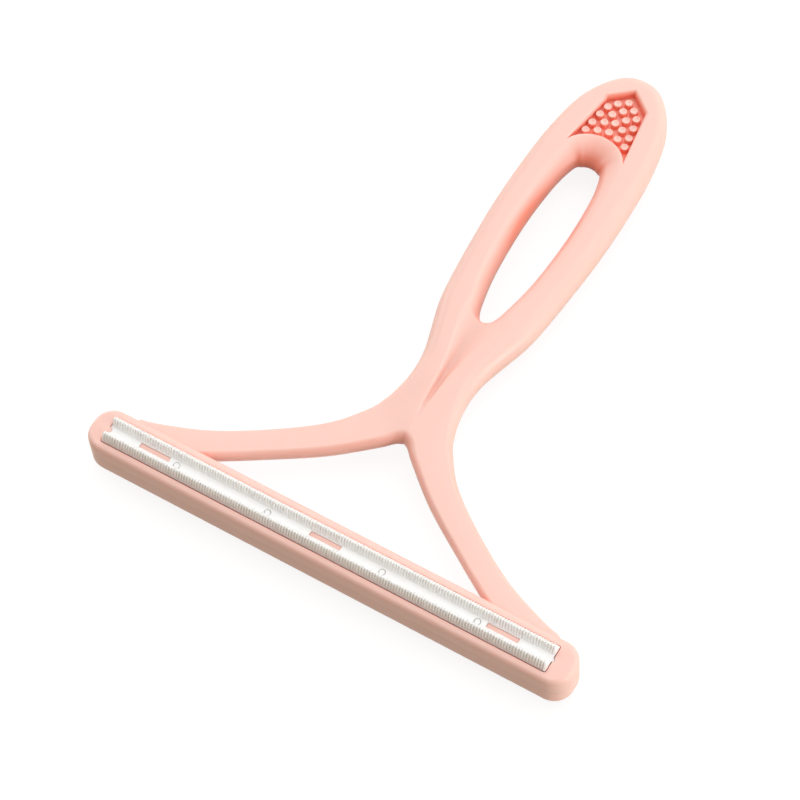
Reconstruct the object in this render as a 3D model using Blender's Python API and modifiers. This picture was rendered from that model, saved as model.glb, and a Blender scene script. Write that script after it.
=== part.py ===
"""Two-faced pet-hair scraper: a cross bar with a fine-ribbed comb strip seated in each face, and a
Y-shaped handle with a long loop and a studded thumb pad.

The bar runs along X, the handle along +Y, and Z is the thickness. Working frame: the middle of the
bar at mid thickness. An empty carries it so that the origin is the centre of the footprint and the
lower comb's crests are at Z = 0. The lower half is the upper one turned over about the Y axis.
"""
import math

import bmesh
import bpy

MM = 0.001

# Clearances
GAP = 0.3 * MM                    # between touching solids
SEAM = GAP                        # between the two half shells
SKIRT = 2.0 * MM                  # stock below the seam plane, cut off there
OVER = 1.0 * MM                   # how far a cutter runs past what it cuts
WELD = 0.001 * MM

# Cross bar
BAR_LENGTH = 100.0 * MM
BAR_WIDTH = 8.8 * MM
BAR_THICKNESS = 8.0 * MM
BAR_CORNER_R = 3.8 * MM           # plan corners of the rounded ends
BAR_FILLET = 1.0 * MM
BAR_FILLET_STEPS = 4
CORNER_STEPS = 7

# Comb strip
COMB_END_MARGIN = 4.0 * MM        # bar's end to strip's end
COMB_WIDTH = 5.4 * MM
POCKET_DEPTH = 1.0 * MM
COMB_CORNER_R = 0.35 * MM
RIB_COUNT = 164
RIB_DEPTH = 0.38 * MM
CREST_PROUD = 1.75 * MM           # crest of a rib above the bar's face
OUTER_DROP = 0.6 * MM             # outer shoulder of a rib below its crest
INNER_DROP = 0.3 * MM             # edge of a rib over the channel, below its crest
RIDGE_SHELF = 0.25 * MM           # strip's edge to the ridge's outer wall
RIDGE_WIDTH = 1.25 * MM
RIDGE_SHOULDER = 0.6 * MM         # ridge's outer wall to its crest
RIDGE_LAND = 0.6 * MM             # smooth end of each ridge
LAND_RISE = 0.25 * MM             # land's high point to the first valley
LAND_END_DROP = 0.84 * MM         # crest to the ridge's end
LAND_TOP_DROP = 0.11 * MM         # crest to the land's high point
SLOT_COUNT = 3
SLOT_END_INSET = 9.9 * MM         # strip's end to the middle of its end slot
SLOT_LENGTH = 6.8 * MM
SLOT_WIDTH = 1.4 * MM
KEY_SUNK = 0.3 * MM               # top of a key below the channel's floor
KEY_ROOT = 0.5 * MM               # overlap with the pocket's floor
MARK_D = 1.6 * MM
MARK_SIDES = 14
MARK_DEPTH = 0.25 * MM
MARK_OFF_SLOT = 1.5 * MM

# Handle
HANDLE_THICKNESS = 6.6 * MM
CROWN = 0.25 * MM                 # how much the middle of a limb stands over its shoulders
EDGE_R = 3.0 * MM                 # plan width of the rounded edge
EDGE_MOST = 0.47                  # share of a narrow limb's width that one edge may take
EDGE_STEPS = 4
FOOT_INSET = 6.4 * MM             # bar's end to the outer end of an arm's foot
ARM_HEIGHT = 34.4 * MM            # bar's back wall to the waist
LOOP_SPAN = 56.5 * MM             # waist to the far end of the loop
TIP_BLOCK = 20.8 * MM             # far end of the loop to the tip

# Right half of the handle, drawn at DRAWN sizes in millimetres: outer edge x, y, inner edge x, y,
# from the bar to the tip, y counted from the bar's back wall. Inner points left of x = 0 lie beyond
# the mirror plane, where the two halves merge.
DRAWN_FOOT, DRAWN_LIMB_X = 43.6, 13.6
DRAWN_WAIST, DRAWN_LOOP_END, DRAWN_TIP = 34.4, 90.9, 111.7
LIMB = (
    (43.6, 1.7, 43.6, -3.2),
    (40.0, 2.65, 38.2, -3.5),
    (31.0, 6.2, 29.2, 0.8),
    (21.4, 12.0, 19.8, 6.5),
    (13.6, 18.0, 10.8, 12.4),
    (9.0, 23.7, 3.6, 18.4),
    (7.5, 26.8, 1.2, 20.2),
    (6.6, 29.9, -1.2, 21.0),
    (6.05, 34.4, -5.4, 28.6),
    (6.5, 39.2, -5.0, 38.2),
    (8.2, 45.2, -2.5, 45.2),
    (9.1, 48.2, -1.2, 48.8),
    (9.75, 51.0, 1.1, 50.3),
    (10.3, 55.0, 2.5, 54.0),
    (10.95, 61.6, 3.8, 61.6),
    (11.7, 72.6, 4.4, 72.6),
    (11.75, 83.6, 3.95, 82.6),
    (11.1, 93.8, 2.75, 88.7),
    (9.1, 103.2, 1.2, 90.5),
    (4.6, 110.0, 0.4, 90.9),
    (-0.6, 111.7, -0.4, 90.9),
    (-5.0, 109.8, -1.0, 90.6),
)
SPAN_STEPS = 2                    # sections from one drawn row to the next

# Valley between the two limbs, from over the crotch to the loop: y from the waist, half width, depth
VALLEY = (
    (-7.5, 0.6, 0.0), (-5.5, 0.65, 0.3), (-3.5, 0.8, 0.85), (-0.5, 0.95, 1.2),
    (3.5, 1.5, 1.25), (7.0, 2.1, 1.3), (11.5, 3.0, 1.5), (15.5, 3.3, 1.8), (20.0, 3.3, 0.8),
)

# Thumb pad
PAD_END_INSET = 4.6 * MM          # handle's tip to the pad's apex
PAD_ARC_RISE = 4.4 * MM           # far end of the loop to the top of the pad's arc
PAD_SHOULDER_X = 4.1 * MM
PAD_SHOULDER_DROP = 3.35 * MM     # apex to shoulder, along the handle
PAD_CORNER_X = 5.8 * MM
PAD_ARC_R = 7.0 * MM
PAD_ARC_STEPS = 8
PAD_DEPTH = 2.2 * MM
STUD_D = 1.5 * MM
STUD_HEIGHT = 0.9 * MM
STUD_SIDES = 10
STUD_ROUNDING = 0.19 * MM
# Studs: share of the pad's length from its apex, share of its half width there.
STUDS = (
    (0.19, 0.0), (0.29, 0.43), (0.38, 0.0), (0.415, 0.72), (0.515, 0.33), (0.60, 0.78),
    (0.645, 0.0), (0.71, 0.40), (0.80, 0.80), (0.85, 0.0), (0.90, 0.42), (0.98, 0.80),
)

# Materials: name, linear colour, roughness
PINK = ("upper_shell_plastic", (0.965, 0.640, 0.560), 0.42)
PINK_LOWER = ("lower_shell_plastic", (0.955, 0.630, 0.550), 0.44)
WHITE = ("upper_comb_plastic", (0.900, 0.895, 0.880), 0.35)
WHITE_LOWER = ("lower_comb_plastic", (0.890, 0.885, 0.870), 0.37)

COMB_LENGTH = BAR_LENGTH - 2 * COMB_END_MARGIN
SLOT_PITCH = 2 * (COMB_LENGTH / 2 - SLOT_END_INSET) / (SLOT_COUNT - 1)
MARKS_X = (SLOT_PITCH / 3, SLOT_PITCH - SLOT_LENGTH / 2 - MARK_OFF_SLOT)
BACK_WALL = BAR_WIDTH / 2
LOOP_END_Y = BACK_WALL + ARM_HEIGHT + LOOP_SPAN
TIP_Y = LOOP_END_Y + TIP_BLOCK
BAR_TOP = BAR_THICKNESS / 2
POCKET_FLOOR = BAR_TOP - POCKET_DEPTH
COMB_BOTTOM = POCKET_FLOOR + GAP
PAD_APEX_Y = TIP_Y - PAD_END_INSET
PAD_ARC_Y = LOOP_END_Y + PAD_ARC_RISE
PAD_FLOOR = HANDLE_THICKNESS / 2 - PAD_DEPTH
HALF_HEIGHT = BAR_TOP + CREST_PROUD
MIDDLE_Y = (TIP_Y - BAR_WIDTH / 2) / 2


def start():
    for obj in list(bpy.data.objects):
        bpy.data.objects.remove(obj, do_unlink=True)
    scene = bpy.context.scene
    scene.unit_settings.system = "METRIC"
    parts = bpy.data.collections.new("pet_hair_scraper")
    tools = bpy.data.collections.new("cutters")
    scene.collection.children.link(parts)
    scene.collection.children.link(tools)
    tools.hide_render = True
    return parts, tools


def material(name, colour, roughness):
    made = bpy.data.materials.new(name)
    made.use_nodes = True
    shader = made.node_tree.nodes["Principled BSDF"]
    shader.inputs["Base Color"].default_value = (*colour, 1.0)
    shader.inputs["Roughness"].default_value = roughness
    shader.inputs["Metallic"].default_value = 0.0
    made.diffuse_color = (*colour, 1.0)
    return made


def to_object(name, bm, collection):
    bmesh.ops.recalc_face_normals(bm, faces=bm.faces)
    mesh = bpy.data.meshes.new(name)
    bm.to_mesh(mesh)
    bm.free()
    obj = bpy.data.objects.new(name, mesh)
    collection.objects.link(obj)
    if collection.hide_render:
        obj.hide_render = True
        obj.display_type = "WIRE"
    return obj


def evaluated_mesh(obj):
    bpy.context.view_layer.update()
    graph = bpy.context.evaluated_depsgraph_get()
    return bpy.data.meshes.new_from_object(obj.evaluated_get(graph))


def baked(obj):
    """Replaces an object's mesh by its evaluated one, and drops the modifiers."""
    mesh = evaluated_mesh(obj)
    obj.modifiers.clear()
    obj.data = mesh
    return obj


def plate(name, outline, low, high, collection):
    """A closed flat outline of (x, y) points, extruded from low to high."""
    drawn = bpy.data.curves.new(name + "_outline", "CURVE")
    drawn.dimensions = "2D"
    drawn.fill_mode = "BOTH"
    drawn.extrude = (high - low) / 2
    line = drawn.splines.new("POLY")
    line.points.add(len(outline) - 1)
    for point, (x, y) in zip(line.points, outline):
        point.co = (x, y, 0.0, 1.0)
    line.use_cyclic_u = True
    curve = bpy.data.objects.new(name + "_outline", drawn)
    curve.location.z = (low + high) / 2
    bpy.context.scene.collection.objects.link(curve)
    bm = bmesh.new()
    bm.from_mesh(evaluated_mesh(curve))
    bmesh.ops.remove_doubles(bm, verts=bm.verts, dist=WELD)
    bmesh.ops.dissolve_limit(bm, angle_limit=math.radians(1), verts=bm.verts, edges=bm.edges)
    obj = to_object(name, bm, collection)
    obj.matrix_world = curve.matrix_world
    bpy.data.objects.remove(curve)
    return obj


def box(name, centre, size, low, high, collection):
    """A block of size (x, y) about centre (x, y), from low to high."""
    bm = bmesh.new()
    bmesh.ops.create_cube(bm, size=1.0)
    bmesh.ops.scale(bm, vec=(*size, high - low), verts=bm.verts)
    bmesh.ops.translate(bm, vec=(*centre, (low + high) / 2), verts=bm.verts)
    return to_object(name, bm, collection)


def cylinder(name, centre, diameter, sides, low, high, collection):
    bm = bmesh.new()
    bmesh.ops.create_cone(bm, cap_ends=True, segments=sides, depth=high - low,
                          radius1=diameter / 2, radius2=diameter / 2)
    bmesh.ops.translate(bm, vec=(*centre, (low + high) / 2), verts=bm.verts)
    return to_object(name, bm, collection)


def rounded(obj, width, segments):
    """Rounds the rims; the sides' own shallow corners stay as they are."""
    step = obj.modifiers.new("rims", "BEVEL")
    step.width = width
    step.segments = segments
    step.limit_method = "ANGLE"
    step.angle_limit = math.radians(60)
    step.use_clamp_overlap = False
    return baked(obj)


def rounded_rectangle(length, width, radius, steps):
    points = []
    for corner, (sx, sy) in enumerate(((1, 1), (-1, 1), (-1, -1), (1, -1))):
        for k in range(steps + 1):
            angle = math.pi / 2 * (corner + k / steps)
            points.append((sx * (length / 2 - radius) + radius * math.cos(angle),
                           sy * (width / 2 - radius) + radius * math.sin(angle)))
    return points


def loft(name, rings, collection):
    """One closed skin over rings of equal count, with flat ends."""
    bm = bmesh.new()
    rows = [[bm.verts.new(point) for point in ring] for ring in rings]
    count = len(rings[0])
    for a, b in zip(rows, rows[1:]):
        for i in range(count):
            j = (i + 1) % count
            bm.faces.new((a[i], a[j], b[j], b[i]))
    bm.faces.new(rows[0])
    bm.faces.new(rows[-1][::-1])
    return to_object(name, bm, collection)


def boolean(obj, other, operation, own=False):
    step = obj.modifiers.new(operation.lower() + "_" + other.name, "BOOLEAN")
    step.operation = operation
    step.solver = "EXACT"
    step.use_self = own
    step.object = other
    return baked(obj)


def smooth_rows(rows, steps):
    """Catmull-Rom rows through the drawn ones, with the end rows kept."""
    first = [2 * a - b for a, b in zip(rows[0], rows[1])]
    last = [2 * a - b for a, b in zip(rows[-1], rows[-2])]
    padded = [first, *rows, last]
    made = []
    for p0, p1, p2, p3 in zip(padded, padded[1:], padded[2:], padded[3:]):
        for k in range(steps):
            t = k / steps
            made.append([0.5 * (2 * b + (c - a) * t + (2 * a - 5 * b + 4 * c - d) * t * t
                                + (3 * b - a - 3 * c + d) * t ** 3)
                         for a, b, c, d in zip(p0, p1, p2, p3)])
    return made + [list(rows[-1])]


def placed(x, y):
    """A drawn point at the current sizes: feet keep their inset from the bar's ends, the waist and the
    loop's far end move with their spans, and the tip block moves whole."""
    spread = BAR_LENGTH / 2 - FOOT_INSET - DRAWN_FOOT * MM
    share = max(0.0, (abs(x) - DRAWN_LIMB_X) / (DRAWN_FOOT - DRAWN_LIMB_X))
    across = x * MM + math.copysign(spread * share, x)
    if y <= DRAWN_WAIST:
        along = ARM_HEIGHT * y / DRAWN_WAIST
    elif y <= DRAWN_LOOP_END:
        along = ARM_HEIGHT + LOOP_SPAN * (y - DRAWN_WAIST) / (DRAWN_LOOP_END - DRAWN_WAIST)
    else:
        along = ARM_HEIGHT + LOOP_SPAN + TIP_BLOCK * (y - DRAWN_LOOP_END) / (DRAWN_TIP - DRAWN_LOOP_END)
    return across, BACK_WALL + along


def limb_section(row):
    """Half section over the seam plane from the outer edge to the inner one, with a skirt below it
    that the seam cut removes. The edges are quarter ellipses and the middle is slightly crowned."""
    ox, oy = placed(row[0], row[1])
    ix, iy = placed(row[2], row[3])
    width = math.hypot(ox - ix, oy - iy)
    edge = min(EDGE_R, EDGE_MOST * width)
    half = HANDLE_THICKNESS / 2
    stations = []
    for k in range(EDGE_STEPS + 1):
        turn = math.pi / 2 * k / EDGE_STEPS
        stations.append((edge * (1 - math.cos(turn)), math.sin(turn)))
    profile = stations + [(width / 2, 1.0)] + [(width - s, h) for s, h in reversed(stations)]
    ring = [(ox, oy, -SKIRT / 2)]
    for s, h in profile:
        across = 2 * s / width - 1
        z = (half - CROWN * across * across) * h
        t = s / width
        ring.append((ox + (ix - ox) * t, oy + (iy - oy) * t, z))
    ring.append((ix, iy, -SKIRT / 2))
    return ring


def handle(name, collection):
    obj = loft(name, [limb_section(row) for row in smooth_rows(LIMB, SPAN_STEPS)], collection)
    mirror = obj.modifiers.new("both_sides", "MIRROR")
    mirror.use_axis[0] = True
    mirror.use_bisect_axis[0] = True
    mirror.use_mirror_merge = True
    mirror.bisect_threshold = WELD
    mirror.merge_threshold = WELD
    return baked(obj)


def valley_cutter(name, collection):
    """A V that deepens and widens from the crotch to the loop."""
    top = HANDLE_THICKNESS / 2
    rings = []
    for y, half, depth in VALLEY:
        along = BACK_WALL + ARM_HEIGHT + y * MM
        side, rise = half * MM, OVER / 2
        wide = side * (1 + rise / max(depth * MM, OVER / 5))
        rings.append([(-wide, along, top + rise), (wide, along, top + rise), (0, along, top - depth * MM)])
    return loft(name, rings, collection)


def slot_places():
    return [((k - (SLOT_COUNT - 1) / 2) * SLOT_PITCH, 0.0) for k in range(SLOT_COUNT)]


def pad_corner():
    reach = math.asin(PAD_CORNER_X / PAD_ARC_R)
    return reach, PAD_ARC_Y - PAD_ARC_R * (1 - math.cos(reach))


def pad_outline():
    """Pointed shield: apex, shoulders, straight sides, and an arc bulging to the apex."""
    reach, corner_y = pad_corner()
    arc = []
    for k in range(PAD_ARC_STEPS + 1):
        angle = reach * (2 * k / PAD_ARC_STEPS - 1)
        arc.append((PAD_ARC_R * math.sin(angle), PAD_ARC_Y - PAD_ARC_R * (1 - math.cos(angle))))
    shoulder_y = PAD_APEX_Y - PAD_SHOULDER_DROP
    return arc + [(PAD_SHOULDER_X, shoulder_y), (0.0, PAD_APEX_Y), (-PAD_SHOULDER_X, shoulder_y)]


def stud_places():
    """Studs spread over the pad, mirrored in pairs; the first share runs from the apex to the arc."""
    _, corner_y = pad_corner()
    shoulder_y = PAD_APEX_Y - PAD_SHOULDER_DROP
    places = []
    for down, out in STUDS:
        y = PAD_APEX_Y - down * (PAD_APEX_Y - PAD_ARC_Y)
        share = (shoulder_y - y) / (shoulder_y - corner_y)
        x = out * (PAD_SHOULDER_X + share * (PAD_CORNER_X - PAD_SHOULDER_X))
        places += [(x, y), (-x, y)] if out else [(0.0, y)]
    return places


def half_shell(name, parts, tools):
    """Half of the body over the seam: bar, handle, comb pocket with its keys, and the thumb pad."""
    outline = rounded_rectangle(BAR_LENGTH, BAR_WIDTH, BAR_CORNER_R, CORNER_STEPS)
    shell = rounded(plate(name, outline, -SKIRT, BAR_TOP, parts), BAR_FILLET, BAR_FILLET_STEPS)
    boolean(shell, handle(name + "_handle", tools), "UNION")

    reach = 2 * (BAR_LENGTH + TIP_Y)
    below = box(name + "_seam", (0, 0), (reach, reach), -3 * SKIRT, SEAM / 2, tools)
    boolean(shell, below, "DIFFERENCE", True)

    boolean(shell, valley_cutter(name + "_valley", tools), "DIFFERENCE")

    outline = rounded_rectangle(COMB_LENGTH + 2 * GAP, COMB_WIDTH + 2 * GAP, COMB_CORNER_R + GAP, 3)
    pocket = plate(name + "_pocket", outline, POCKET_FLOOR, BAR_TOP + OVER, tools)
    boolean(shell, pocket, "DIFFERENCE")
    for k, place in enumerate(slot_places()):
        size = (SLOT_LENGTH - 2 * GAP, SLOT_WIDTH - 2 * GAP)
        key = box(f"{name}_key_{k}", place, size, POCKET_FLOOR - KEY_ROOT, BAR_TOP - KEY_SUNK, tools)
        boolean(shell, key, "UNION")

    pad = plate(name + "_pad", pad_outline(), PAD_FLOOR, HANDLE_THICKNESS / 2 + OVER, tools)
    boolean(shell, pad, "DIFFERENCE")
    root = (PAD_FLOOR + SEAM / 2) / 2
    for k, place in enumerate(stud_places()):
        stud = cylinder(f"{name}_stud_{k}", place, STUD_D, STUD_SIDES, root, PAD_FLOOR + STUD_HEIGHT, tools)
        boolean(shell, rounded(stud, STUD_ROUNDING, 1), "UNION")
    return shell


def rib_line(peak):
    """Stations (x, height) of one ridge's top edge: end land, ribs, end land."""
    half = COMB_LENGTH / 2
    first = -half + RIDGE_LAND
    pitch = (COMB_LENGTH - 2 * RIDGE_LAND) / RIB_COUNT
    line = [(-half, peak - LAND_END_DROP), (first - LAND_RISE, peak - LAND_TOP_DROP)]
    line.append((first, peak - RIB_DEPTH))
    for k in range(RIB_COUNT):
        line.append((first + (k + 0.5) * pitch, peak))
        line.append((first + (k + 1) * pitch, peak - RIB_DEPTH))
    line.append((half - RIDGE_LAND + LAND_RISE, peak - LAND_TOP_DROP))
    line.append((half, peak - LAND_END_DROP))
    return line


def ridge(name, side, base, face, collection):
    """One ribbed ridge: three zigzag edges joined by two ribbed slopes, over a plain foot."""
    bm = bmesh.new()
    outer = COMB_WIDTH / 2 - RIDGE_SHELF
    inner = outer - RIDGE_WIDTH
    edges = (
        (outer, CREST_PROUD - OUTER_DROP),
        (outer - RIDGE_SHOULDER, CREST_PROUD),
        (inner, CREST_PROUD - INNER_DROP),
    )
    rows = []
    for y, proud in edges:
        rows.append([bm.verts.new((x, side * y, face + z)) for x, z in rib_line(proud)])
    half = COMB_LENGTH / 2
    feet = [[bm.verts.new((x, side * y, base)) for x in (-half, half)] for y in (outer, inner)]
    for a, b in zip(rows, rows[1:]):
        for i in range(len(a) - 1):
            bm.faces.new((a[i], a[i + 1], b[i + 1], b[i]))
    bm.faces.new(rows[0] + feet[0][::-1])
    bm.faces.new(rows[-1] + feet[1][::-1])
    bm.faces.new((feet[0][0], feet[0][1], feet[1][1], feet[1][0]))
    for end, foot in ((0, 0), (-1, 1)):
        bm.faces.new([row[end] for row in rows] + [feet[1][foot], feet[0][foot]])
    return to_object(name, bm, collection)


def comb(name, parts, tools):
    """Comb strip for the upper face: base plate, two ribbed ridges, slots and round marks."""
    outline = rounded_rectangle(COMB_LENGTH, COMB_WIDTH, COMB_CORNER_R, 3)
    strip = plate(name, outline, COMB_BOTTOM, BAR_TOP, parts)
    base = (COMB_BOTTOM + BAR_TOP) / 2
    for side, word in ((-1, "front"), (1, "back")):
        boolean(strip, ridge(f"{name}_{word}", side, base, BAR_TOP, tools), "UNION")
    for k, place in enumerate(slot_places()):
        size = (SLOT_LENGTH, SLOT_WIDTH)
        slot = box(f"{name}_slot_{k}", place, size, COMB_BOTTOM - OVER, BAR_TOP + OVER, tools)
        boolean(strip, slot, "DIFFERENCE")
    for k, x in enumerate(sign * x for x in MARKS_X for sign in (-1, 1)):
        floor = BAR_TOP - MARK_DEPTH
        mark = cylinder(f"{name}_mark_{k}", (x, 0), MARK_D, MARK_SIDES, floor, BAR_TOP + OVER, tools)
        boolean(strip, mark, "DIFFERENCE")
    return strip


def empty(name, collection, parent=None):
    made = bpy.data.objects.new(name, None)
    made.parent = parent
    collection.objects.link(made)
    return made


def main():
    parts, tools = start()
    frame = empty("scraper", parts)
    frame.location = (0, -MIDDLE_Y, HALF_HEIGHT)
    turned = empty("lower_half", parts, frame)
    turned.rotation_euler.y = math.pi

    shell = half_shell("upper_shell", parts, tools)
    strip = comb("upper_comb", parts, tools)
    shades = (PINK, PINK_LOWER, WHITE, WHITE_LOWER)
    for k, obj in enumerate((shell, strip)):
        obj.data.materials.clear()
        obj.data.shade_smooth()
        obj.data.set_sharp_from_angle(angle=math.radians(35))
        lower = obj.copy()
        lower.data = obj.data.copy()
        lower.name = obj.name.replace("upper", "lower")
        parts.objects.link(lower)
        for half, parent, (look, colour, roughness) in zip((obj, lower), (frame, turned), shades[2 * k:]):
            half.parent = parent
            half.data.name = half.name
            half.data.materials.append(material(look, colour, roughness))
    for obj in list(tools.objects):
        bpy.data.objects.remove(obj, do_unlink=True)


main()
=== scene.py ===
"""Pet hair scraper: a pink two-part moulded body with a Y handle, and a ribbed white comb in each face.

Sizes here are millimetres in the body's own frame: x along the bar, y from the bar to the handle's
tip, z out of the upper face, with the middle of the bar at (0, 0, 0). solid moves them to the
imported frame.
"""
import math

import bmesh
import bpy
import numpy as np
from mathutils import Matrix


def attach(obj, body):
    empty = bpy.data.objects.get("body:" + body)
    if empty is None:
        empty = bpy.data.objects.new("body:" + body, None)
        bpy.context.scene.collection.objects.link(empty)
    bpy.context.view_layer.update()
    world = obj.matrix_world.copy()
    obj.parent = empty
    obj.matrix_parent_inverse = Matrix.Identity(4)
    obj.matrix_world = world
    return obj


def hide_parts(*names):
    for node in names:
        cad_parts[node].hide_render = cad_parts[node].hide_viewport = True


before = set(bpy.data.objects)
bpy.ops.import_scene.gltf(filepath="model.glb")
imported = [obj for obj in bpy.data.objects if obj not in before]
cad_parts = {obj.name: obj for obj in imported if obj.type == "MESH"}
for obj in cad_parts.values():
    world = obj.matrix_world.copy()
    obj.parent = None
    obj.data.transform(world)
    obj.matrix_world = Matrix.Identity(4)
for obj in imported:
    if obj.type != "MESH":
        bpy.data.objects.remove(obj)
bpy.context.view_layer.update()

MM = 0.001

# Bar
BAR_LENGTH = 100.0
BAR_WIDTH = 8.8
BAR_TOP = 4.0
BAR_CORNER_R = 3.8
BAR_FILLET = 1.0
# A loop part way up the bar's wall, and the first loop in from the edge of its flat top
BAR_WALL_Z = 1.5
BAR_TOP_INSET = 0.06

# How deep raised pieces are sunk in what they stand on, how far cutters run past a surface, and how
# much a half-round end falls short of a full half circle, so that its two corners don't meet
SUNK = 0.3
CUT_PAST = 1.0
HAIR = 1e-3

# Parting line between the two halves, drawn as a hairline
PARTING = 0.02
PARTING_LIP = 0.04

# Pocket and comb, which sits a little left of the bar's middle
COMB_X = -0.38
COMB_LENGTH = 92.0
COMB_WIDTH = 5.4
COMB_CORNER_R = 0.25
COMB_GAP = 0.13
POCKET_Y = -0.03
POCKET_FLOOR = 3.0
COMB_BOTTOM = 3.05
RIM_R = 0.12
CREST = 1.75
# Edge of the comb's plate over its narrower foot: inset, depth under the bar's face
FOOT_INSET = 0.2
PLATE_EDGE = ((FOOT_INSET, 0.32), (0.0, 0.12), (0.0, 0.07), (0.02, 0.02), (0.07, 0.0))

# Ribs of a ridge, the plain land at its ends, and the rounding of the ends
RIB_COUNT = 164
RIB_POINTS = 8
RIDGE_LAND = 0.6
RIDGE_END_R = 0.6
# Section of a ridge from its outer foot over the crest to its inner foot: distance from the comb's
# middle line, height over the plate. The feet are sunk in the plate.
RIDGE_SECTION = (
    (2.61, -SUNK), (2.61, 0.04), (2.58, 0.25), (2.51, 0.55), (2.42, 0.85), (2.31, 1.12), (2.18, 1.36),
    (2.04, 1.55), (1.89, 1.68), (1.72, 1.74), (1.55, 1.72), (1.38, 1.63), (1.25, 1.48), (1.15, 1.26),
    (1.06, 0.98), (0.97, 0.64), (0.86, 0.3), (0.72, 0.04), (0.70, -SUNK),
)
# Depth of the gaps between the ribs at each of those points, and the middle and the swing of the
# cosine that opens a gap, which is flat where it passes 0 and 1
RIB_DEPTHS = (0, 0, 0.12, 0.19, 0.22, *(0.24,) * 10, 0.2, 0.12, 0, 0)
RIB_MIDDLE = 0.35
RIB_SWING = 0.95
# How much a ridge's width and its height draw in at the ends
RIDGE_END_SHARES = (0.8, 1.0)

# Slots of the comb over the pocket's keys
SLOT_PITCH = 36.1
SLOT_LENGTH = 6.4
SLOT_WIDTH = 0.95
SLOT_Y = 0.08
SLOT_CORNER_R = 0.15
KEY_DOWN = 0.12
KEY_GAP = 0.05
KEY_CORNER_R = 0.1
KEY_RIM_R = 0.06

# Half-round notch in the comb's left end, filled by a key of the body; their tails run out past that end
NOTCH_R = 0.62
NOTCH_TAIL = 1.0
END_Y = -0.1
END_KEY_TAIL = 0.9
END_KEY_DOWN = 0.03
END_KEY_RIM_R = 0.05
# Small half-round tab at the comb's right end, in a pocket of its own
TAB_R = 0.35
TAB_GAP = 0.06
TAB_DOWN = 0.03
TAB_LIFT = 0.05
TAB_FLOOR_LIFT = 0.02
# Round ejector marks in the channel: place along the bar, radius, width and depth of the groove
MARKS_X = (11.9, 31.2)
MARK_Y = -0.25
MARK_R = 0.66
MARK_GROOVE = 0.12
MARK_DEPTH = 0.6
MARK_SIDES = 40

# Handle
HALF_THICK = 3.3
CROWN = 0.14
EDGE_MOST = 0.47
BACK_WALL = BAR_WIDTH / 2
# Right limb: outer x and y, inner x and y from the bar's back wall; how far in the rounding of each
# of these two edges reaches; half thickness
LIMB = np.array((
    (43.6, 1.5, 43.6, -3.4, 0.9, 0.9, 1.8),
    (40.0, 2.45, 38.2, -3.7, 0.9, 0.9, 1.8),
    (31.0, 6.0, 29.2, 0.6, 0.9, 0.9, 1.8),
    (21.4, 11.8, 19.8, 6.3, 0.9, 0.9, 1.8),
    (13.6, 17.8, 10.8, 12.2, 1.0, 1.0, 1.85),
    (9.0, 23.6, 3.6, 18.2, 1.2, 1.2, 1.9),
    (7.5, 26.7, 1.2, 20.5, 1.5, 1.6, 2.05),
    (6.6, 29.9, -1.2, 22.3, 1.8, 1.8, 2.3),
    (6.05, 34.4, -5.4, 28.6, 2.2, 2.0, 2.75),
    (6.5, 39.2, -5.0, 38.2, 2.6, 2.0, 3.05),
    (8.2, 45.2, -2.5, 45.2, 2.8, 2.0, 3.25),
    (9.1, 48.2, -1.2, 48.8, 2.8, 2.0, 3.3),
    (9.75, 51.0, 1.1, 50.3, 2.8, 2.2, 3.3),
    (10.3, 55.0, 2.5, 54.0, 2.8, 2.4, 3.3),
    (10.95, 61.6, 3.8, 61.6, 2.8, 2.6, 3.3),
    (11.7, 72.6, 4.4, 72.6, 2.7, 2.8, 3.3),
    (11.75, 83.6, 3.95, 82.6, 2.6, 3.2, 3.3),
    (11.1, 93.8, 2.75, 88.4, 2.2, 4.2, 3.3),
    (9.1, 103.2, 1.5, 89.45, 2.3, 6.0, 3.3),
    (4.7, 109.9, 0.65, 89.75, 2.4, 7.0, 3.3),
    (0.0, 111.6, 0.0, 89.8, 2.4, 7.0, 3.3),
    (-4.7, 109.9, -0.65, 89.75, 2.4, 7.0, 3.3),
))

# Where the limbs merge, the crease between them is eased over this distance from the middle
CREASE_R = 1.6
CREASE_END = 75.0

# Valley between the limbs: y, half width, depth; the power gives the roundness of its section
VALLEY_POWER = 1.8
VALLEY = np.array((
    (30.0, 0.55, 0.0), (32.0, 0.62, 0.2), (34.0, 0.72, 0.6), (37.0, 0.9, 0.95), (40.0, 1.2, 1.15),
    (45.0, 2.1, 1.25), (50.0, 3.5, 1.4), (54.0, 4.3, 1.55), (56.0, 4.5, 1.1), (59.0, 4.5, 0.0),
))

# Thumb pad
PAD_APEX = 111.5
PAD_ARC_TOP = 99.7
PAD_SHOULDER = (4.1, 108.15)
PAD_CORNER_X = 5.8
PAD_ARC_R = 7.0
PAD_FLOOR = 1.5
PAD_FLOOR_R = 0.18
PAD_DRAFT = 0.03
PAD_RIM_R = 0.8
PAD_ARC_RIM_R = 0.14
PAD_ARC_POINTS = 27
HORN_SHARE = 1.2
# A rim's quarter circle stops short by a few degrees and runs on straight through the surface
RIM_TURN = math.radians(78)
RIM_FLARE = 0.4
STUD_R = 0.83
STUD_TOP = 2.65
STUD_SIDES = 24
# Right half of the studs: share of the way from the pad's apex to its arc, and from the middle to its flank
STUDS = np.array((
    (0.19, 0.0), (0.29, 0.43), (0.38, 0.0), (0.415, 0.72), (0.515, 0.33), (0.60, 0.78),
    (0.645, 0.0), (0.71, 0.40), (0.80, 0.80), (0.85, 0.0), (0.90, 0.42), (0.98, 0.80),
))

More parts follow.
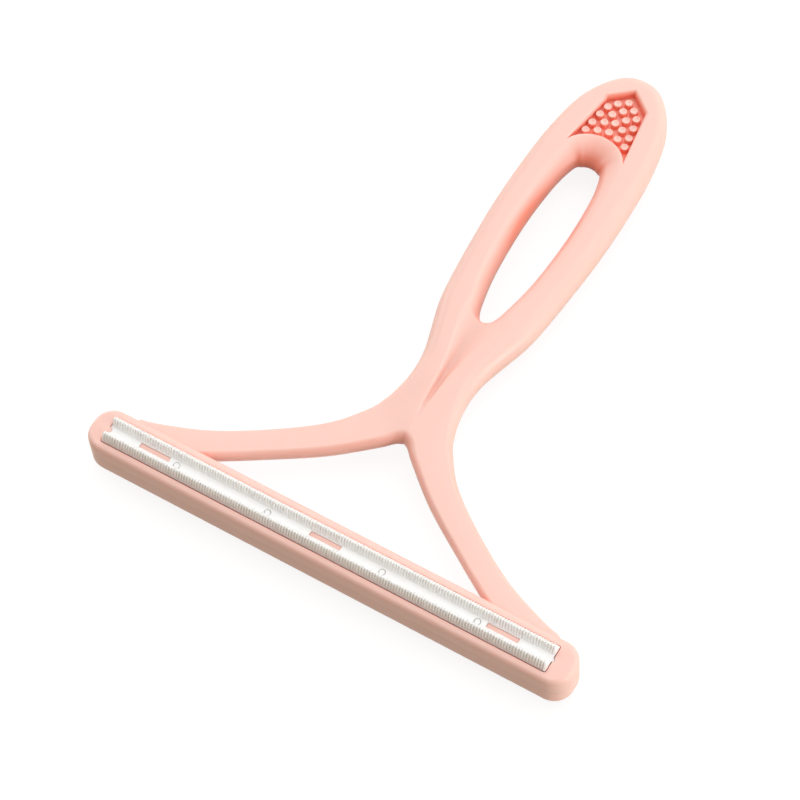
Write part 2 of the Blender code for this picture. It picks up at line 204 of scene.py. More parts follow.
# Middles (m, imported frame) of the handle's two openings, the finger loop and the gap between arms and
# bar; how much painted shade deepens the plastic's colour in nooks and openings from the bar to the
# loop's far end (m, share), and in narrow gaps
OPENINGS = ((0.0, 0.0222, 0.00575), (0.0, -0.0439, 0.00575))
SHADE_ALONG_HANDLE = {"From Min": -0.055, "From Max": 0.015, "To Min": 0.03, "To Max": 0.85}
GAP_SHADE_MOST = 0.6
# Share of open space round a point at which painted shade in a nook and in a gap starts to show, and
# at which it shows fully
NOOK_SHADE_STARTS = 0.98
GAP_SHADE_STARTS = 0.85
CLOSED_IN = 0.35
# How squarely a wall has to face an opening's middle for its painted shade to start and to finish deepening
FACING_STARTS = -0.02
FACING_FULL = -0.6
# Distance (mm) over which the plastic's colour drifts, and how far the grain moves its roughness
DRIFT_MM = 18
ROUGHNESS_SPREAD = 0.04

# Studio: the floor's colour to the light that bounces off it, its colour and lift to the camera, its
# side (m)
FLOOR_BOUNCE = (0.36, 0.27, 0.17)
FLOOR_SEEN = (0.20, 0.20, 0.20)
FLOOR_LIFT = 0.86
FLOOR_SIZE = 3.0
# Surrounding light: a dim warm side behind the camera, a bright neutral one elsewhere, and the two
# directions along y between which one turns into the other
DIM_SIDE = (0.18, 0.125, 0.062)
BRIGHT_SIDE = (0.86, 0.86, 0.86)
SIDE_TURNS = (-1.0, 0.15)
# Lamps: name, azimuth and elevation (degrees), distance and size (m), strength
LAMPS = (
    ("overhead", 150, 75, 1.2, 1.0, 0.215),
    ("right", 84, 9, 1.2, 0.5, 0.53),
    ("back", 194, 36, 1.2, 1.0, 0.17),
    ("left", 262, 20, 1.2, 0.6, 0.18),
)
# Camera: place (mm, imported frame); azimuth, elevation and roll (degrees); shift of the picture (share of
# its width); sensor and lens (mm)
VIEW_PLACE = (156.50, -242.62, 474.61)
VIEW_TURN = (36.301, 59.841, -5.94)
VIEW_SHIFT = (-0.00158, 0.0013)
SENSOR = 36.0
FOCAL_LENGTH = 134.17

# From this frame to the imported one, whose origin is on the floor under the scraper's middle
MIDDLE_Y = 55.85
SHIFT = np.array((0.0, -MIDDLE_Y, BAR_TOP + CREST))


def catmull_rom(keys, steps):
    """Uniform Catmull-Rom curve through the rows of keys, whose ends are carried on in a straight line."""
    padded = np.vstack((2 * keys[0] - keys[1], keys, 2 * keys[-1] - keys[-2]))
    spans = len(keys) - 1
    t = np.linspace(0, 1, steps, endpoint=False)[:, None]
    a, b, c, d = (padded[k:k + spans, None] for k in range(4))
    square, cube = 2 * a - 5 * b + 4 * c - d, 3 * b - a - 3 * c + d
    curve = 0.5 * (2 * b + (c - a) * t + square * t ** 2 + cube * t ** 3)
    return np.vstack((curve.reshape(-1, keys.shape[1]), keys[-1]))


def grid_quads(rows, columns, closed=False):
    """Corner numbers of the quads of a grid whose points are stored row by row."""
    across = columns if closed else columns - 1
    i = np.arange(rows - 1)[:, None] * columns
    j = np.arange(across)[None]
    k = (j + 1) % columns
    return np.stack((i + j, i + k, i + columns + k, i + columns + j), -1).reshape(-1, 4)


def solid(name, points, faces, weld=1e-4):
    """A piece of those points (mm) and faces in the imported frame, facing out. Points closer than the
    weld (mm) become one."""
    mesh = bpy.data.meshes.new(name)
    mesh.from_pydata(((points + SHIFT) * MM).tolist(), [], [list(face) for face in faces])
    bm = bmesh.new()
    bm.from_mesh(mesh)
    bmesh.ops.remove_doubles(bm, verts=bm.verts, dist=weld * MM)
    bmesh.ops.dissolve_degenerate(bm, edges=bm.edges, dist=weld * MM / 10)
    bmesh.ops.recalc_face_normals(bm, faces=bm.faces)
    bm.to_mesh(mesh)
    bm.free()
    obj = bpy.data.objects.new(name, mesh)
    bpy.context.scene.collection.objects.link(obj)
    return obj


def combine(obj, other, operation):
    """Cuts or joins, and puts the result in the object's own mesh."""
    step = obj.modifiers.new(operation, "BOOLEAN")
    step.operation = operation
    step.solver = "EXACT"
    step.object = other
    bpy.context.view_layer.update()
    graph = bpy.context.evaluated_depsgraph_get()
    mesh = bpy.data.meshes.new_from_object(obj.evaluated_get(graph))
    obj.modifiers.clear()
    obj.data = mesh
    bpy.data.objects.remove(other)
    return obj


def rounded_rectangle(length, width, radius, corner=10, side=24, end=3):
    """Points counter-clockwise round a rectangle with quarter-circle corners. The three counts are the
    steps of a corner, a long side and an end, and hold at any size."""
    turn = np.linspace(0, np.pi / 2, corner + 1)
    arcs, points = [], []
    for k, (sx, sy) in enumerate(((1, 1), (-1, 1), (-1, -1), (1, -1))):
        centre = np.array((sx * (length / 2 - radius), sy * (width / 2 - radius)))
        angle = turn + k * np.pi / 2
        arcs.append(centre + radius * np.stack((np.cos(angle), np.sin(angle)), -1))
    for k in range(4):
        leaves, meets = arcs[k][-1], arcs[(k + 1) % 4][0]
        steps = side if k % 2 == 0 else end
        t = np.linspace(0, 1, steps + 1)[1:-1, None]
        points += [arcs[k], leaves + (meets - leaves) * t]
    return np.vstack(points)


def stack_of_loops(name, loops):
    """A closed skin over loops of equal count, each (points, z), with a flat face at either end."""
    count = len(loops[0][0])
    points = np.vstack([np.column_stack((plan, np.broadcast_to(z, count))) for plan, z in loops])
    faces = grid_quads(len(loops), count, closed=True).tolist()
    faces.append(list(range(count))[::-1])
    faces.append(list(range((len(loops) - 1) * count, len(loops) * count)))
    return solid(name, points, faces)


def rounding(radius, top, count):
    """Steps (inset, z) up a quarter circle that draws a wall in to a flat top."""
    turn = np.linspace(0, np.pi / 2, count)
    return [(radius * (1 - np.cos(a)), top - radius * (1 - np.sin(a))) for a in turn]


def bar_blank():
    """Rounded bar over the parting plane: plan loops drawn in along a quarter circle at the top edge."""
    steps = [(PARTING_LIP, PARTING), (0.0, PARTING + PARTING_LIP), (0.0, BAR_WALL_Z)]
    steps += rounding(BAR_FILLET, BAR_TOP, 9)
    steps += [(BAR_FILLET + BAR_TOP_INSET, BAR_TOP)]
    loops = [(rounded_rectangle(BAR_LENGTH - 2 * inset, BAR_WIDTH - 2 * inset, BAR_CORNER_R - inset), z)
             for inset, z in steps]
    return stack_of_loops("bar", loops)


def edge_height(inset, width, reach):
    """Share of the full height at a distance in from the outer edge: a quarter ellipse at either side,
    each with its own reach."""
    reach = np.minimum(reach, EDGE_MOST * width)
    near = np.clip(np.dstack((inset, width - inset)) / reach[:, None], 0, 1)
    return np.sqrt(1 - (1 - near) ** 2).prod(-1)


def valley_depth(x, y):
    """Depth of the valley between the limbs at a plan point: a round bottom, steep walls, eased shoulders."""
    half = np.interp(y, VALLEY[:, 0], VALLEY[:, 1])
    depth = np.interp(y, VALLEY[:, 0], VALLEY[:, 2])
    t = np.clip(np.abs(x) / half, 0, 1)
    return depth * (1 - t ** 2) ** VALLEY_POWER


def limb_surface(steps=14, columns=57):
    """Right half of the handle's upper side. Along it run two curves, its outer and its inner edge;
    across it a cosine-spaced section, cut at x = 0 where the inner edge lies beyond."""
    rails = catmull_rom(LIMB + (0, BACK_WALL, 0, BACK_WALL, 0, 0, 0), steps)
    past = np.argmax(rails[:, 0] <= 1e-6)
    a, b = rails[past - 1], rails[past]
    rails = np.vstack((rails[:past], a + (b - a) * a[0] / (a[0] - b[0])))
    outer, inner, reach, half_thick = rails[:, None, :2], rails[:, None, 2:4], rails[:, 4:6], rails[:, 6:]
    width = np.linalg.norm(outer - inner, axis=-1)
    cut = np.where(inner[..., 0] < 0, outer[..., 0] / (outer[..., 0] - inner[..., 0] + 1e-9), 1.0)
    most = np.arccos(1 - 2 * np.clip(cut, 0, 1)) / np.pi
    share = (1 - np.cos(np.pi * most * np.linspace(0, 1, columns)[None])) / 2
    plan = outer + (inner - outer) * share[..., None]
    lean = np.clip((outer[..., 0] - inner[..., 0]) / width, 0, 1) * (outer[..., 1] < CREASE_END)
    eased = np.clip(CREASE_R - plan[..., 0], 0, CREASE_R) ** 2 / (2 * CREASE_R)
    eased *= np.clip((1 - share) * width / CREASE_R, 0, 1)
    share = share - eased * lean / width
    height = edge_height(share * width, width, reach) * (half_thick - CROWN * (2 * share - 1) ** 2)
    height *= 1 - valley_depth(plan[..., 0], plan[..., 1]) / HALF_THICK
    return plan, np.maximum(height, PARTING)


def handle_blank():
    """The handle over the parting plane: its top surface, the same plan flat below, and both mirrored."""
    plan, height = limb_surface()
    rows, columns = height.shape
    top = np.dstack((plan, height)).reshape(-1, 3)
    top[np.abs(top[:, 0]) < 1e-3, 0] = 0.0
    base = top.copy()
    base[:, 2] = PARTING
    right = np.vstack((top, base))
    quads = grid_quads(rows, columns)
    foot = list(range(columns)) + [columns * rows + k for k in range(columns - 2, 0, -1)]
    last = np.arange(rows) * columns + columns - 1
    wall = np.column_stack((last[:-1], last[1:], last[1:] + rows * columns, last[:-1] + rows * columns))
    wall = wall[np.maximum(top[last[:-1], 0], top[last[1:], 0]) > 0]
    faces = quads.tolist() + (quads[:, ::-1] + rows * columns).tolist() + wall.tolist() + [foot]
    mirrored = right * (-1, 1, 1)
    count = len(right)
    faces += [[k + count for k in face[::-1]] for face in faces]
    return solid("handle", np.vstack((right, mirrored)), faces)


def pad_loop(out, arc_out):
    """Pointed shield, its arc on the loop side drawn out by one distance and its flanks and top by
    another. The shoulders and the apex stay sharp, and the two horns grow in step with the flanks."""
    centre = np.array((0.0, PAD_ARC_TOP - PAD_ARC_R))
    reach = math.asin(PAD_CORNER_X / PAD_ARC_R)
    corner = centre + PAD_ARC_R * np.array((math.sin(reach), math.cos(reach)))
    shoulder, apex = np.array(PAD_SHOULDER), np.array((0.0, PAD_APEX))
    flank, top = shoulder - corner, apex - shoulder
    flank, top = flank / np.linalg.norm(flank), top / np.linalg.norm(top)
    sides = np.array(((flank[1], -flank[0]), (top[1], -top[0])))
    horn = np.array((math.cos(reach), -math.sin(reach))) - flank
    corner = corner + HORN_SHARE * out * horn / np.linalg.norm(horn)
    shoulder = np.linalg.solve(sides, sides @ shoulder + out)
    apex = np.array((0.0, PAD_APEX + out / sides[1, 1]))
    angle = np.linspace(-reach, reach, PAD_ARC_POINTS)[1:-1]
    arc = np.column_stack((np.sin(angle), np.cos(angle))) * (PAD_ARC_R - arc_out) + centre
    t = np.linspace(0, 1, 13)[:, None]
    right = np.vstack((corner + (shoulder - corner) * t, (shoulder + (apex - shoulder) * t)[1:]))
    left = (right * (-1, 1))[::-1][1:]
    return np.vstack((arc, right, left))


def surface_height(plan):
    """Height of the handle's top at plan points, each worked out in the triangle of its grid that
    holds the point."""
    grid, height = limb_surface()
    rows, columns = height.shape
    quads = grid_quads(rows, columns)
    grid, height = grid.reshape(-1, 2), height.reshape(-1)
    plan = np.abs(plan)
    corners = np.vstack((quads[:, :3], quads[:, (0, 2, 3)]))
    corners = corners[grid[corners[:, 0], 1] > PAD_ARC_TOP - PAD_ARC_R]
    a, b, c = (grid[corners[:, k]][None] for k in range(3))
    ab, ac, ap = b - a, c - a, plan[:, None] - a
    area = ab[..., 0] * ac[..., 1] - ab[..., 1] * ac[..., 0]
    area = np.where(np.abs(area) < 1e-9, np.inf, area)
    share_b = (ap[..., 0] * ac[..., 1] - ap[..., 1] * ac[..., 0]) / area
    share_c = (ab[..., 0] * ap[..., 1] - ab[..., 1] * ap[..., 0]) / area
    share_a = np.where(np.isinf(area), -np.inf, 1 - share_b - share_c)
    shares = np.stack((share_a, share_b, share_c), -1)
    holder = shares.min(-1).argmax(1)
    held = shares[np.arange(len(plan)), holder]
    return (held * height[corners[holder]]).sum(1)


def pad_cutter():
    """Recess for the thumb pad: a flat floor with a small fillet, a wall, and a rounded rim that follows
    the crowned surface, crisp along the arc and softer along the other edges."""
    loops = []
    for angle in np.linspace(0, np.pi / 2, 4):
        inset = -PAD_FLOOR_R * (1 - np.sin(angle))
        loops.append((pad_loop(inset, inset), PAD_FLOOR + PAD_FLOOR_R * (1 - np.cos(angle))))
    rim = np.full(len(loops[0][0]), PAD_RIM_R)
    rim[:PAD_ARC_POINTS - 2] = PAD_ARC_RIM_R
    for angle in np.linspace(0, RIM_TURN, 7):
        side = 1 - np.cos(angle)
        plan = pad_loop(PAD_DRAFT + PAD_RIM_R * side, PAD_DRAFT + PAD_ARC_RIM_R * side)
        loops.append((plan, surface_height(plan) - rim * (1 - np.sin(angle))))
    side = 1 - np.cos(RIM_TURN) + RIM_FLARE
    plan = pad_loop(PAD_DRAFT + PAD_RIM_R * side, PAD_DRAFT + PAD_ARC_RIM_R * side)
    drop = 1 - np.sin(RIM_TURN) - RIM_FLARE / np.tan(RIM_TURN)
    loops.append((plan, surface_height(plan) - rim * drop))
    loops.append((plan, HALF_THICK + CUT_PAST))
    return stack_of_loops("pad", loops)


def studs():
    """Round studs as turned profiles: a drafted wall, a rounded rim and a slightly dished top."""
    reach = math.asin(PAD_CORNER_X / PAD_ARC_R)
    corner_y = PAD_ARC_TOP - PAD_ARC_R * (1 - math.cos(reach))
    y = PAD_APEX - STUDS[:, 0] * (PAD_APEX - PAD_ARC_TOP)
    share = (PAD_SHOULDER[1] - y) / (PAD_SHOULDER[1] - corner_y)
    x = STUDS[:, 1] * (PAD_SHOULDER[0] + share * (PAD_CORNER_X - PAD_SHOULDER[0]))
    paired = x > 0
    places = np.vstack((np.column_stack((x, y)), np.column_stack((-x, y))[paired]))
    profile = np.array((
        (STUD_R + 0.02, PAD_FLOOR - SUNK), (STUD_R, PAD_FLOOR + 0.1), (STUD_R - 0.03, STUD_TOP - 0.22),
        (STUD_R - 0.06, STUD_TOP - 0.10), (STUD_R - 0.12, STUD_TOP - 0.03), (STUD_R - 0.20, STUD_TOP),
        (STUD_R - 0.30, STUD_TOP - 0.02), (STUD_R - 0.46, STUD_TOP - 0.08), (0.02, STUD_TOP - 0.09),
    ))
    turn = np.linspace(0, 2 * np.pi, STUD_SIDES, endpoint=False)
    ring = np.stack((np.cos(turn), np.sin(turn)), -1)
    one = np.concatenate([np.column_stack((r * ring, np.full(STUD_SIDES, z))) for r, z in profile])
    quads = grid_quads(len(profile), STUD_SIDES, closed=True)
    points = (one[None] + np.column_stack((places, np.zeros(len(places))))[:, None]).reshape(-1, 3)
    faces = []
    for start in range(0, len(points), len(one)):
        faces += (quads + start).tolist()
        faces.append(list(range(start, start + STUD_SIDES))[::-1])
        faces.append(list(range(start + len(one) - STUD_SIDES, start + len(one))))
    return solid("studs", points, faces)


def pocket_cutter():
    """Recess for the comb: straight walls and a rounded rim at the bar's face."""
    length, width = COMB_LENGTH + 2 * COMB_GAP, COMB_WIDTH + 2 * COMB_GAP
    corner = COMB_CORNER_R + COMB_GAP
    place = (COMB_X, POCKET_Y)
    steps = [(0.0, POCKET_FLOOR), *rounding(RIM_R, BAR_TOP, 6), (RIM_R, BAR_TOP + CUT_PAST)]
    loops = [(rounded_rectangle(length + 2 * out, width + 2 * out, corner + out) + place, z)
             for out, z in steps]
    return stack_of_loops("pocket", loops)


def block(name, place, length, width, radius, low, high, rim=0.0):
    """Rounded block on end, its top edge drawn in along a quarter circle."""
    steps = [(0.0, low)] + (rounding(rim, high, 4) if rim else [(0.0, high)])
    loops = [(rounded_rectangle(length - 2 * inset, width - 2 * inset, radius - inset, corner=4, side=6)
              + place, z) for inset, z in steps]
    return stack_of_loops(name, loops)


def slot_places():
    """Middles of the three slots: one at the comb's middle and one a pitch away on either side."""
    return [(k * SLOT_PITCH + COMB_X, SLOT_Y) for k in (-1, 0, 1)]


def end_key(radius, tail, low, high, rim=0.0):
    """Half-round key at the comb's left end; its tail runs out past that end."""
    place = (COMB_X - (COMB_LENGTH + tail) / 2 + radius / 2, END_Y)
    return block("end_key", place, tail + radius, 2 * radius, radius - HAIR, low, high, rim)


def end_tab(radius, low, high):
    """Half-round tab at the comb's right end, centred on that end."""
    place = (COMB_X + COMB_LENGTH / 2, END_Y)
    return block("end_tab", place, 2 * radius, 2 * radius, radius - HAIR, low, high)


def ridge(side):
    """One ribbed ridge of the comb. Its section is a profile of (y, z) points; at every rib gap each
    point steps in along the profile's normal by its own depth, and at the ends the section narrows
    about its middle and sinks, along a quarter circle. Inward is the side that is down at the crest."""
    profile = np.array(RIDGE_SECTION)
    ahead = np.gradient(profile, axis=0)
    inward = np.column_stack((-ahead[:, 1], ahead[:, 0]))
    crest = profile[:, 1].argmax()
    inward *= -np.sign(inward[crest, 1]) / np.linalg.norm(inward, axis=1)[:, None]
    half = COMB_LENGTH / 2
    pitch = (COMB_LENGTH - 2 * RIDGE_LAND) / RIB_COUNT
    ribs = np.linspace(-half + RIDGE_LAND, half - RIDGE_LAND, RIB_COUNT * RIB_POINTS + 1)
    ends = half - RIDGE_END_R * (1 - np.cos(np.linspace(0, np.pi / 2, 6)))
    x = np.concatenate((-ends, ribs, ends[::-1]))
    phase = (x + half - RIDGE_LAND) / pitch
    gap = np.clip(RIB_MIDDLE + RIB_SWING * np.cos(2 * np.pi * phase), 0, 1)
    gap[np.abs(x) > half - RIDGE_LAND + 1e-6] = 0
    from_end = np.clip(half - np.abs(x), 0, RIDGE_END_R)
    drawn_in = RIDGE_END_R - np.sqrt(RIDGE_END_R ** 2 - (RIDGE_END_R - from_end) ** 2)
    step = gap[:, None] * np.array(RIB_DEPTHS)
    section = profile[None] + step[..., None] * inward[None]
    centre = np.array((profile[:, 0].mean(), profile[0, 1]))
    span = np.ptp(profile, axis=0) / (2, 1)
    section = centre + (section - centre) * (1 - drawn_in[:, None, None] / span * RIDGE_END_SHARES)
    along = np.broadcast_to(x[:, None] + COMB_X, step.shape)
    points = np.dstack((along, section[..., 0] * side, section[..., 1] + BAR_TOP))
    rows, columns = step.shape
    faces = grid_quads(rows, columns, closed=True).tolist()
    faces += [list(range(columns))[::-1], list(range((rows - 1) * columns, rows * columns))]
    return solid("ridge", points.reshape(-1, 3), faces)


def ring_groove(x):
    """Cutter for a round groove in the channel: a rectangular section turned about the mark's middle."""
    turn = np.linspace(0, 2 * np.pi, MARK_SIDES, endpoint=False)
    circle = np.column_stack((np.cos(turn), np.sin(turn)))
    inner, low, high = MARK_R - MARK_GROOVE, BAR_TOP - MARK_DEPTH, BAR_TOP + CUT_PAST
    section = ((MARK_R, low), (MARK_R, high), (inner, high), (inner, low), (MARK_R, low))
    points = np.vstack([np.column_stack((r * circle + (x, MARK_Y), np.full(MARK_SIDES, z)))
                        for r, z in section])
    return solid("mark", points, grid_quads(len(section), MARK_SIDES, closed=True).tolist())


def comb_strip():
    """White comb: a plate with softened top edges and a narrower foot, a ribbed ridge along either side,
    slots over the body's keys, a notch and a tab at its ends, and fine round marks in the channel."""
    steps = [(FOOT_INSET, COMB_BOTTOM)] + [(inset, BAR_TOP - depth) for inset, depth in PLATE_EDGE]
    loops = [(rounded_rectangle(COMB_LENGTH - 2 * inset, COMB_WIDTH - 2 * inset, COMB_CORNER_R - inset)
              + (COMB_X, 0), z) for inset, z in steps]
    strip = stack_of_loops("comb", loops)
    low, high = COMB_BOTTOM - CUT_PAST, BAR_TOP + CUT_PAST
    for side in (-1, 1):
        combine(strip, ridge(side), "UNION")
    for place in slot_places():
        combine(strip, block("slot", place, SLOT_LENGTH, SLOT_WIDTH, SLOT_CORNER_R, low, high), "DIFFERENCE")
    combine(strip, end_key(NOTCH_R, NOTCH_TAIL, low, high), "DIFFERENCE")
    combine(strip, end_tab(TAB_R, COMB_BOTTOM + TAB_LIFT, BAR_TOP - TAB_DOWN), "UNION")
    for x in MARKS_X:
        for sign in (-1, 1):
            combine(strip, ring_groove(sign * x + COMB_X), "DIFFERENCE")
    return strip


def body_half():
    """Upper half of the pink body: bar and handle joined, the comb's pocket and the thumb pad cut in,
    and the keys and studs raised on their floors."""
    body = combine(bar_blank(), handle_blank(), "UNION")
    combine(body, pocket_cutter(), "DIFFERENCE")
    tab_pocket = end_tab(TAB_R + TAB_GAP, POCKET_FLOOR + TAB_FLOOR_LIFT, BAR_TOP + CUT_PAST)
    combine(body, tab_pocket, "DIFFERENCE")
    combine(body, pad_cutter(), "DIFFERENCE")
    low = POCKET_FLOOR - SUNK
    for place in slot_places():
        key = block("key", place, SLOT_LENGTH - 2 * KEY_GAP, SLOT_WIDTH - 2 * KEY_GAP, KEY_CORNER_R, low,
                    BAR_TOP - KEY_DOWN, KEY_RIM_R)
        combine(body, key, "UNION")
    last_key = end_key(NOTCH_R - KEY_GAP, END_KEY_TAIL, low, BAR_TOP - END_KEY_DOWN, END_KEY_RIM_R)
    combine(body, last_key, "UNION")
    combine(body, studs(), "UNION")
    return body


def turned_over(obj, name):
    """The same piece for the other face, mirrored in the parting plane."""
    mesh = obj.data.copy()
    plane = SHIFT[2] * MM
    mesh.transform(Matrix.Translation((0, 0, 2 * plane)) @ Matrix.Scale(-1, 4, (0, 0, 1)))
    mesh.flip_normals()
    copy = bpy.data.objects.new(name, mesh)
    bpy.context.scene.collection.objects.link(copy)
    return copy


def linear(code):
    """Linear RGBA of an sRGB hex colour."""
    channels = np.array([int(code[k:k + 2], 16) for k in (1, 3, 5)]) / 255
    straight = np.where(channels <= 0.04045, channels / 12.92, ((channels + 0.055) / 1.055) ** 2.4)
    return (*straight.tolist(), 1.0)


def node(tree, kind, settings=None, values=None, links=None):
    """Adds a shader node, sets its properties and sockets, and links its inputs."""
    made = tree.nodes.new(kind)
    for key, value in (settings or {}).items():
        setattr(made, key, value)
    for key, value in (values or {}).items():
        made.inputs[key].default_value = value
    for key, socket in (links or {}).items():
        tree.links.new(socket, made.inputs[key])
    return made


def larger(tree, first, second):
    """The larger of two sockets."""
    return node(tree, "ShaderNodeMath", {"operation": "MAXIMUM"}, links={0: first, 1: second}).outputs[0]


def mixed(tree, share, first, second):
    """Colour mix node; each side is a socket or a constant colour."""
    made = node(tree, "ShaderNodeMix", {"data_type": "RGBA"}, links={0: share})
    for index, side in ((6, first), (7, second)):
        if isinstance(side, tuple):
            made.inputs[index].default_value = side
        else:
            tree.links.new(side, made.inputs[index])
    return made.outputs[2]


def moulded_plastic(name, colour, drift_to, shade_colour, nook_shade_mm, gap_shade_mm, roughness, grain_mm, grain_depth_mm,
                    scatter, reach_mm, openings=()):
    """Injection-moulded plastic: even colour with a faint slow drift, and a fine grain from the tool. Painted
    shade: in nooks of the piece, in narrow gaps to its neighbours and on the walls round its openings the
    colour deepens towards the shade colour, standing in for shade and for light that has passed through and
    off the plastic several times."""
    made = bpy.data.materials.new(name)
    made.use_nodes = True
    tree = made.node_tree
    tree.nodes.clear()
    own_frame = node(tree, "ShaderNodeTexCoord")
    place = own_frame.outputs["Object"]
    drift = node(tree, "ShaderNodeTexNoise", values={"Scale": 1 / (DRIFT_MM * MM), "Detail": 2.0},
                 links={"Vector": place})
    even = mixed(tree, drift.outputs["Fac"], linear(colour), linear(drift_to))
    # Painted shade in nooks of the piece and in narrow gaps, read from how closed in each point is
    shares = []
    for reach, own, first, most in ((nook_shade_mm, True, NOOK_SHADE_STARTS, 1.0), (gap_shade_mm, False, GAP_SHADE_STARTS, GAP_SHADE_MOST)):
        openness = node(tree, "ShaderNodeAmbientOcclusion", {"samples": 8, "only_local": own},
                        {"Distance": reach * MM})
        closed = node(tree, "ShaderNodeMapRange",
                      values={"From Min": first, "From Max": CLOSED_IN, "To Max": most},
                      links={"Value": openness.outputs["AO"]})
        shares.append(closed.outputs["Result"])
    nook_shade_share, gap_shade_share = shares
    # Painted shade on walls that face an opening's middle
    for middle in openings:
        from_middle = node(tree, "ShaderNodeVectorMath", {"operation": "SUBTRACT"}, {1: middle}, {0: place})
        outward = node(tree, "ShaderNodeVectorMath", {"operation": "NORMALIZE"},
                       links={0: from_middle.outputs[0]})
        facing = node(tree, "ShaderNodeVectorMath", {"operation": "DOT_PRODUCT"},
                      links={0: outward.outputs[0], 1: own_frame.outputs["Normal"]})
        facing_shade = node(tree, "ShaderNodeMapRange", values={"From Min": FACING_STARTS, "From Max": FACING_FULL},
                      links={"Value": facing.outputs["Value"]})
        nook_shade_share = larger(tree, nook_shade_share, facing_shade.outputs["Result"])
    # The painted shade grows from the bar towards the loop's far end
    if openings:
        parts = node(tree, "ShaderNodeSeparateXYZ", links={0: place})
        along = node(tree, "ShaderNodeMapRange", values=SHADE_ALONG_HANDLE, links={"Value": parts.outputs["Y"]})
        nook_shade_share = node(tree, "ShaderNodeMath", {"operation": "MULTIPLY"},
                          links={0: nook_shade_share, 1: along.outputs["Result"]}).outputs[0]
    # Painted shade: the colour is mixed towards the shade colour
    shade = mixed(tree, larger(tree, nook_shade_share, gap_shade_share), even, linear(shade_colour))
    grain = node(tree, "ShaderNodeTexNoise",
                 values={"Scale": 1 / (grain_mm * MM), "Detail": 3.0, "Roughness": 0.6},
                 links={"Vector": place})
    bump = node(tree, "ShaderNodeBump", values={"Strength": 1.0, "Distance": grain_depth_mm * MM},
                links={"Height": grain.outputs["Fac"]})
    rough = node(tree, "ShaderNodeMapRange",
                 values={"To Min": roughness - ROUGHNESS_SPREAD, "To Max": roughness + ROUGHNESS_SPREAD},
                 links={"Value": grain.outputs["Fac"]})
    shader = node(tree, "ShaderNodeBsdfPrincipled", values={"IOR": 1.53, "Metallic": 0.0},
                  links={"Base Color": shade, "Roughness": rough.outputs["Result"],
                         "Normal": bump.outputs["Normal"]})
    shader.inputs["Subsurface Weight"].default_value = scatter
    shader.inputs["Subsurface Radius"].default_value = reach_mm
    shader.inputs["Subsurface Scale"].default_value = MM
    node(tree, "ShaderNodeOutputMaterial", links={"Surface": shader.outputs["BSDF"]})
    return made


def pale_floor():
    """Matt studio floor that reads as white to the camera and still takes the object's shadow."""
    made = bpy.data.materials.new("studio_floor")
    made.use_nodes = True
    tree = made.node_tree
    tree.nodes.clear()
    ray = node(tree, "ShaderNodeLightPath")
    seen = node(tree, "ShaderNodeMath", {"operation": "MAXIMUM"},
                links={0: ray.outputs["Is Camera Ray"], 1: ray.outputs["Is Glossy Ray"]})
    lift = node(tree, "ShaderNodeMath", {"operation": "MULTIPLY"}, {1: FLOOR_LIFT}, {0: seen.outputs[0]})
    glow = node(tree, "ShaderNodeEmission", links={"Strength": lift.outputs[0]})
    tint = mixed(tree, ray.outputs["Is Camera Ray"], (*FLOOR_BOUNCE, 1), (*FLOOR_SEEN, 1))
    matt = node(tree, "ShaderNodeBsdfDiffuse", links={"Color": tint})
    both = node(tree, "ShaderNodeAddShader", links={0: glow.outputs[0], 1: matt.outputs[0]})
    node(tree, "ShaderNodeOutputMaterial", links={"Surface": both.outputs[0]})
    return made


def smooth(obj, degrees=33):
    """Shades a piece smooth, and keeps edges sharper than that angle crisp."""
    obj.data.shade_smooth()
    obj.data.set_sharp_from_angle(angle=math.radians(degrees))


def dress(obj, cad_node, look):
    """Finishes a piece, and puts it in its CAD node's place."""
    smooth(obj)
    obj.data.materials.clear()
    obj.data.materials.append(look)
    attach(obj, "root")
    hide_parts(cad_node)


def soft_box(name, azimuth, elevation, distance, size, strength):
    """Square lamp aimed at the middle of the object. Its power is pi squared times its distance squared
    times the strength, the light it gives a facing surface, where 1 shows a colour as written."""
    a, e = math.radians(azimuth), math.radians(elevation)
    away = np.array((math.sin(a) * math.cos(e), -math.cos(a) * math.cos(e), math.sin(e)))
    lamp = bpy.data.lights.new(name, "AREA")
    lamp.size = size
    lamp.energy = strength * math.pi * math.pi * distance ** 2
    obj = bpy.data.objects.new(name, lamp)
    side = np.cross((0.0, 0.0, 1.0), away)
    side /= np.linalg.norm(side)
    turn = np.column_stack((side, np.cross(away, side), away))
    obj.matrix_world = Matrix.Translation(away * distance) @ Matrix(turn.tolist()).to_4x4()
    bpy.context.scene.collection.objects.link(obj)


# Satin ABS, moulded in a spark-eroded tool: broad soft highlights, no sharp reflections. The real
# grain, about a tenth of a millimetre, is drawn coarser so that it can show.
# Its deep coral third colour is painted shade, in nooks, narrow gaps and round the handle's openings.
pink = moulded_plastic("moulded_abs_pink", "#FACEC2", "#F9CBBF", "#FF8E74", nook_shade_mm=4.0, gap_shade_mm=1.5,
                       roughness=0.4, grain_mm=0.35, grain_depth_mm=0.0012, scatter=0.3,
                       reach_mm=(1.2, 0.8, 0.7), openings=OPENINGS)
# POM, moulded in a smoother tool: harder, whiter and a little glossier. Its grain is drawn coarser too.
# Its faint grey third colour is painted shade, in nooks and between the ribs.
white = moulded_plastic("moulded_pom_white", "#FAF9F7", "#F8F7F5", "#F6F4F1", nook_shade_mm=0.5, gap_shade_mm=0.4,
                        roughness=0.33, grain_mm=0.5, grain_depth_mm=0.0008, scatter=0.6,
                        reach_mm=(0.45, 0.44, 0.42))

upper_body = body_half()
upper_body.name = "body_upper_half"
upper_strip = comb_strip()
upper_strip.name = "comb_upper"
lower_body = turned_over(upper_body, "body_lower_half")
lower_strip = turned_over(upper_strip, "comb_lower")
dress(upper_body, "upper_shell", pink)
dress(lower_body, "lower_shell", pink)
dress(upper_strip, "upper_comb", white)
dress(lower_strip, "lower_comb", white)

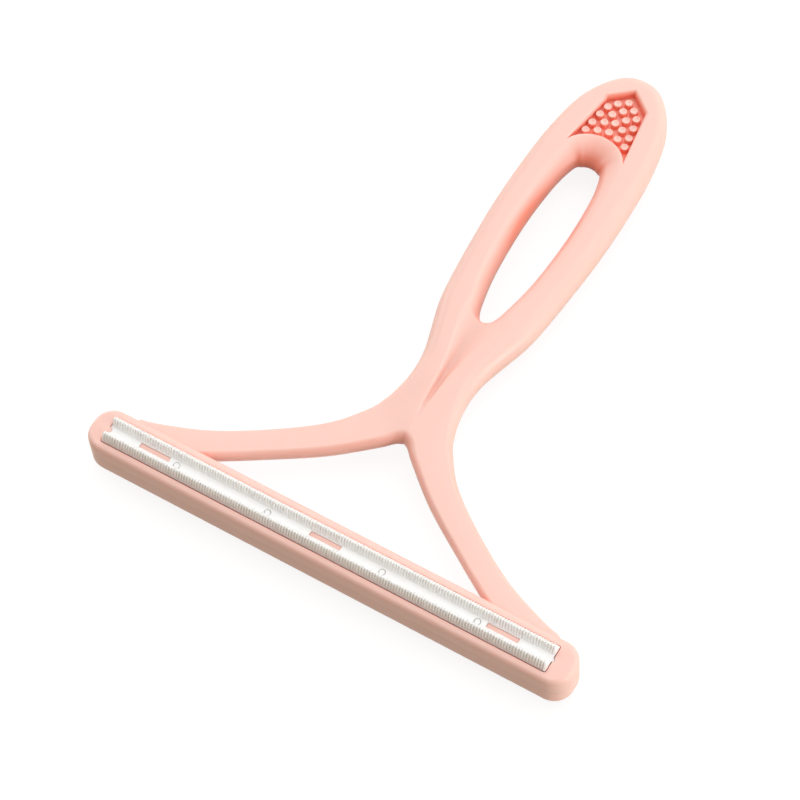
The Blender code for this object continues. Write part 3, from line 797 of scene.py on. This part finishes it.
# Floor, light and camera
bpy.ops.mesh.primitive_plane_add(size=FLOOR_SIZE, location=(0, 0, 0))
floor = bpy.context.object
floor.name = "floor"
floor.data.materials.append(pale_floor())

world = bpy.data.worlds.new("studio")
bpy.context.scene.world = world
world.use_nodes = True
sky = world.node_tree
sky.nodes.clear()
ray = node(sky, "ShaderNodeLightPath")
seen = node(sky, "ShaderNodeMath", {"operation": "MAXIMUM"},
            links={0: ray.outputs["Is Camera Ray"], 1: ray.outputs["Is Transmission Ray"]})
ahead = node(sky, "ShaderNodeSeparateXYZ", links={0: node(sky, "ShaderNodeTexCoord").outputs["Generated"]})
side = node(sky, "ShaderNodeMapRange", {"interpolation_type": "SMOOTHSTEP"},
            {"From Min": SIDE_TURNS[0], "From Max": SIDE_TURNS[1]}, {"Value": ahead.outputs["Y"]})
around = mixed(sky, side.outputs["Result"], (*DIM_SIDE, 1.0), (*BRIGHT_SIDE, 1.0))
shown = mixed(sky, seen.outputs[0], around, (1.0, 1.0, 1.0, 1.0))
backdrop = node(sky, "ShaderNodeBackground", links={"Color": shown})
node(sky, "ShaderNodeOutputWorld", links={"Surface": backdrop.outputs[0]})

for lamp in LAMPS:
    soft_box(*lamp)

# Camera: where it stands, how it is turned, and its lens
a, e, roll = (math.radians(v) for v in VIEW_TURN)
back = np.array((math.cos(e) * math.sin(a), -math.cos(e) * math.cos(a), math.sin(e)))
level_right = np.array((math.cos(a), math.sin(a), 0.0))
level_up = np.cross(back, level_right)
right = math.cos(roll) * level_right + math.sin(roll) * level_up
up = -math.sin(roll) * level_right + math.cos(roll) * level_up
lens = bpy.data.cameras.new("camera")
lens.sensor_width = SENSOR
lens.lens = FOCAL_LENGTH
lens.clip_start = 0.01
lens.shift_x, lens.shift_y = VIEW_SHIFT
camera = bpy.data.objects.new("camera", lens)
camera.matrix_world = (Matrix.Translation(np.array(VIEW_PLACE) * MM)
                       @ Matrix(np.column_stack((right, up, back)).tolist()).to_4x4())
bpy.context.scene.collection.objects.link(camera)
bpy.context.scene.camera = camera
bpy.context.scene.view_settings.view_transform = "Standard"
